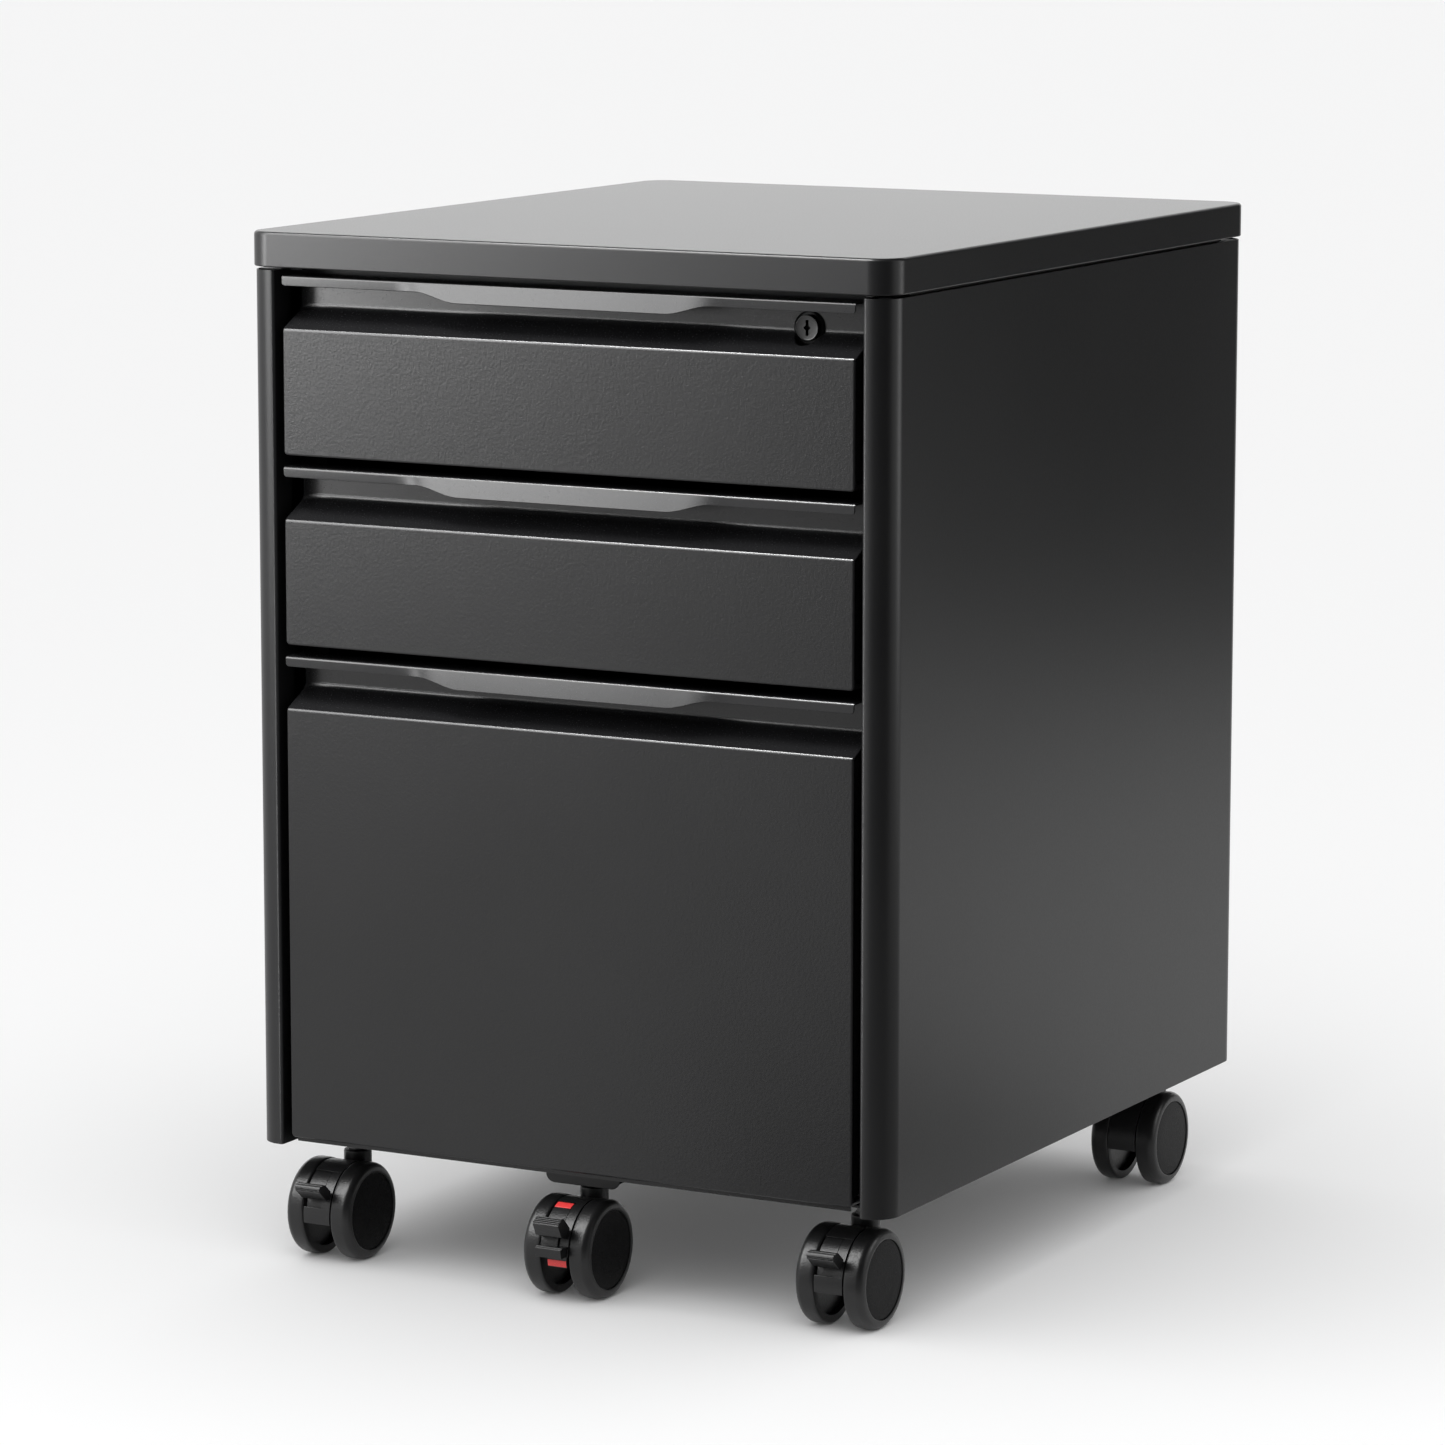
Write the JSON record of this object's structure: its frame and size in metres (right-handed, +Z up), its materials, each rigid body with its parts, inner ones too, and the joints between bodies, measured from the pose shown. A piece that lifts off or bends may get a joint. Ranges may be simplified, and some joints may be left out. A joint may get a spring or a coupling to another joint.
{
  "type": "mobile filing cabinet",
  "caption": "Mobile pedestal filing cabinet in folded sheet steel, with stacked drawers on telescopic slides, full-width finger lips, a cam lock and swivelling twin-wheel casters.",
  "frame": {"origin": "on the floor, under the middle of the whole object's plan box", "axes": "+Z up, front towards -Y, +X to the right seen from the front"},
  "size_m": [0.4124, 0.5016, 0.6],
  "materials": {
    "black_paint": "satin black powder coat with a fine grain",
    "inner_paint": "satin black powder coat",
    "zinc_steel": "bright zinc plate",
    "lock_metal": "black nickel plate on die-cast zinc",
    "caster_plastic": "satin moulded nylon",
    "wheel_plastic": "satin moulded nylon",
    "red_mark": "printed red"
  },
  "bodies": {
    "cabinet": {"outer_shell": "black_paint", "top_cap": "black_paint", "cap_rails": "inner_paint", "cap_screws": "zinc_steel", "base_plate": "inner_paint", "left_uprights": "inner_paint", "right_uprights": "inner_paint", "top_rail": "inner_paint", "lock_bar_guides": "zinc_steel", "caster_nuts": "zinc_steel", "corner_stems": "zinc_steel", "top_slide_outer": "zinc_steel", "middle_slide_outer": "zinc_steel", "file_slide_outer": "zinc_steel"},
    "top_drawer": {"top_front": "black_paint", "top_box": "inner_paint", "top_slide_inner": "zinc_steel", "lock_housing": "lock_metal", "lock_nut": "lock_metal"},
    "middle_drawer": {"middle_front": "black_paint", "middle_box": "inner_paint", "middle_slide_inner": "zinc_steel"},
    "file_drawer": {"file_front": "black_paint", "file_box": "inner_paint", "file_slide_inner": "zinc_steel", "file_rail_left": "zinc_steel", "file_rail_right": "zinc_steel", "caster_bracket": "black_paint", "centre_stem": "zinc_steel", "centre_nut": "zinc_steel"},
    "top_slide": {"top_slide_middle": "zinc_steel"},
    "middle_slide": {"middle_slide_middle": "zinc_steel"},
    "file_slide": {"file_slide_middle": "zinc_steel"},
    "lock": {"lock_plug": "lock_metal", "lock_cam": "zinc_steel"},
    "lock_bar": {"lock_bar": "zinc_steel"},
    "front_left_swivel": {"front_left_hood": "caster_plastic", "front_left_axle": "zinc_steel"},
    "front_left_left_wheel": {"front_left_wheel_left": "wheel_plastic"},
    "front_left_right_wheel": {"front_left_wheel_right": "wheel_plastic"},
    "front_left_brake_lever": {"front_left_brake": "caster_plastic"},
    "front_right_swivel": {"front_right_hood": "caster_plastic", "front_right_axle": "zinc_steel"},
    "front_right_left_wheel": {"front_right_wheel_left": "wheel_plastic"},
    "front_right_right_wheel": {"front_right_wheel_right": "wheel_plastic"},
    "front_right_brake_lever": {"front_right_brake": "caster_plastic"},
    "centre_swivel": {"centre_hood": "caster_plastic", "centre_axle": "zinc_steel"},
    "centre_left_wheel": {"centre_wheel_left": "wheel_plastic"},
    "centre_right_wheel": {"centre_wheel_right": "wheel_plastic"},
    "centre_brake_lever": {"centre_brake": "caster_plastic", "centre_brake_marks": "red_mark"},
    "rear_left_swivel": {"rear_left_hood": "caster_plastic", "rear_left_axle": "zinc_steel"},
    "rear_left_left_wheel": {"rear_left_wheel_left": "wheel_plastic"},
    "rear_left_right_wheel": {"rear_left_wheel_right": "wheel_plastic"},
    "rear_right_swivel": {"rear_right_hood": "caster_plastic", "rear_right_axle": "zinc_steel"},
    "rear_right_left_wheel": {"rear_right_wheel_left": "wheel_plastic"},
    "rear_right_right_wheel": {"rear_right_wheel_right": "wheel_plastic"}
  },
  "joints": [
    {"name": "top_drawer_slide", "type": "slide", "parent": "cabinet", "child": "top_drawer", "axis": [0, -1, 0], "range_m": [0, 0.38]},
    {"name": "middle_drawer_slide", "type": "slide", "parent": "cabinet", "child": "middle_drawer", "axis": [0, -1, 0], "range_m": [0, 0.38]},
    {"name": "file_drawer_slide", "type": "slide", "parent": "cabinet", "child": "file_drawer", "axis": [0, -1, 0], "range_m": [0, 0.38]},
    {"name": "top_slide_member", "type": "slide", "parent": "cabinet", "child": "top_slide", "axis": [0, -1, 0], "range_m": [0, 0.19]},
    {"name": "middle_slide_member", "type": "slide", "parent": "cabinet", "child": "middle_slide", "axis": [0, -1, 0], "range_m": [0, 0.19]},
    {"name": "file_slide_member", "type": "slide", "parent": "cabinet", "child": "file_slide", "axis": [0, -1, 0], "range_m": [0, 0.19]},
    {"name": "lock_turn", "type": "hinge", "parent": "top_drawer", "child": "lock", "pos_m": [0.1441, -0.21175, 0.5589], "axis": [0, 1, 0], "range_deg": [-90, 0]},
    {"name": "lock_bar_lift", "type": "slide", "parent": "cabinet", "child": "lock_bar", "axis": [0, 0, 1], "range_m": [0, 0.008]},
    {"name": "front_left_swivel_turn", "type": "hinge", "parent": "cabinet", "child": "front_left_swivel", "pos_m": [-0.167, -0.18085, 0.0285], "axis": [0, 0, 1], "continuous": true},
    {"name": "front_left_left_wheel_spin", "type": "hinge", "parent": "front_left_swivel", "child": "front_left_left_wheel", "pos_m": [-0.167, -0.19935, 0.0285], "axis": [1, 0, 0], "continuous": true},
    {"name": "front_left_right_wheel_spin", "type": "hinge", "parent": "front_left_swivel", "child": "front_left_right_wheel", "pos_m": [-0.167, -0.19935, 0.0285], "axis": [1, 0, 0], "continuous": true},
    {"name": "front_left_brake_press", "type": "hinge", "parent": "front_left_swivel", "child": "front_left_brake_lever", "pos_m": [-0.167, -0.19935, 0.0285], "axis": [1, 0, 0], "range_deg": [0, 8]},
    {"name": "front_right_swivel_turn", "type": "hinge", "parent": "cabinet", "child": "front_right_swivel", "pos_m": [0.167, -0.18085, 0.0285], "axis": [0, 0, 1], "continuous": true},
    {"name": "front_right_left_wheel_spin", "type": "hinge", "parent": "front_right_swivel", "child": "front_right_left_wheel", "pos_m": [0.167, -0.19935, 0.0285], "axis": [1, 0, 0], "continuous": true},
    {"name": "front_right_right_wheel_spin", "type": "hinge", "parent": "front_right_swivel", "child": "front_right_right_wheel", "pos_m": [0.167, -0.19935, 0.0285], "axis": [1, 0, 0], "continuous": true},
    {"name": "front_right_brake_press", "type": "hinge", "parent": "front_right_swivel", "child": "front_right_brake_lever", "pos_m": [0.167, -0.19935, 0.0285], "axis": [1, 0, 0], "range_deg": [0, 8]},
    {"name": "centre_swivel_turn", "type": "hinge", "parent": "file_drawer", "child": "centre_swivel", "pos_m": [0, -0.19435, 0.0285], "axis": [0, 0, 1], "continuous": true},
    {"name": "centre_left_wheel_spin", "type": "hinge", "parent": "centre_swivel", "child": "centre_left_wheel", "pos_m": [0, -0.21285, 0.0285], "axis": [1, 0, 0], "continuous": true},
    {"name": "centre_right_wheel_spin", "type": "hinge", "parent": "centre_swivel", "child": "centre_right_wheel", "pos_m": [0, -0.21285, 0.0285], "axis": [1, 0, 0], "continuous": true},
    {"name": "centre_brake_press", "type": "hinge", "parent": "centre_swivel", "child": "centre_brake_lever", "pos_m": [0, -0.21285, 0.0285], "axis": [1, 0, 0], "range_deg": [0, 8]},
    {"name": "rear_left_swivel_turn", "type": "hinge", "parent": "cabinet", "child": "rear_left_swivel", "pos_m": [-0.167, 0.21165, 0.0285], "axis": [0, 0, 1], "continuous": true},
    {"name": "rear_left_left_wheel_spin", "type": "hinge", "parent": "rear_left_swivel", "child": "rear_left_left_wheel", "pos_m": [-0.167, 0.19315, 0.0285], "axis": [1, 0, 0], "continuous": true},
    {"name": "rear_left_right_wheel_spin", "type": "hinge", "parent": "rear_left_swivel", "child": "rear_left_right_wheel", "pos_m": [-0.167, 0.19315, 0.0285], "axis": [1, 0, 0], "continuous": true},
    {"name": "rear_right_swivel_turn", "type": "hinge", "parent": "cabinet", "child": "rear_right_swivel", "pos_m": [0.167, 0.21165, 0.0285], "axis": [0, 0, 1], "continuous": true},
    {"name": "rear_right_left_wheel_spin", "type": "hinge", "parent": "rear_right_swivel", "child": "rear_right_left_wheel", "pos_m": [0.167, 0.19315, 0.0285], "axis": [1, 0, 0], "continuous": true},
    {"name": "rear_right_right_wheel_spin", "type": "hinge", "parent": "rear_right_swivel", "child": "rear_right_right_wheel", "pos_m": [0.167, 0.19315, 0.0285], "axis": [1, 0, 0], "continuous": true}
  ],
  "couplings": [
    {"joint": "top_slide_member", "follows": "top_drawer_slide", "ratio": 0.5},
    {"joint": "middle_slide_member", "follows": "middle_drawer_slide", "ratio": 0.5},
    {"joint": "file_slide_member", "follows": "file_drawer_slide", "ratio": 0.5},
    {"joint": "lock_bar_lift", "follows": "lock_turn", "m_per_rad": -0.005093}
  ]
}
